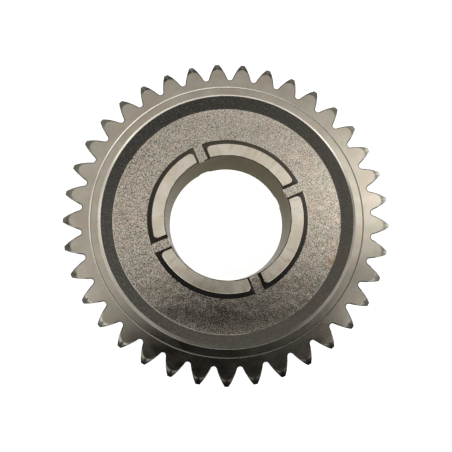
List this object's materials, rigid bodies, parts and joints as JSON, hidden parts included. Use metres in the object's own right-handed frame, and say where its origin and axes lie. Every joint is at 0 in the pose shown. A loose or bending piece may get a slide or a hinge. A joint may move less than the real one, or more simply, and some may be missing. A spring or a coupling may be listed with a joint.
{
  "type": "planet gear",
  "caption": "Spur planet gear with recessed web, slotted thrust pads round a plain running bore, and bevelled tooth tips.",
  "frame": {"origin": "on the bore axis at the middle of the gear's width", "axes": "+Z along the bore axis, +X towards the right of the pictured face, +Y towards its top"},
  "size_m": [0.1587, 0.1586, 0.0288],
  "materials": {
    "gear_steel": "satin turned faces and ground pads, with a shot-blasted forged web"
  },
  "bodies": {
    "root": {"final_drive_gear": "gear_steel"}
  },
  "joints": []
}
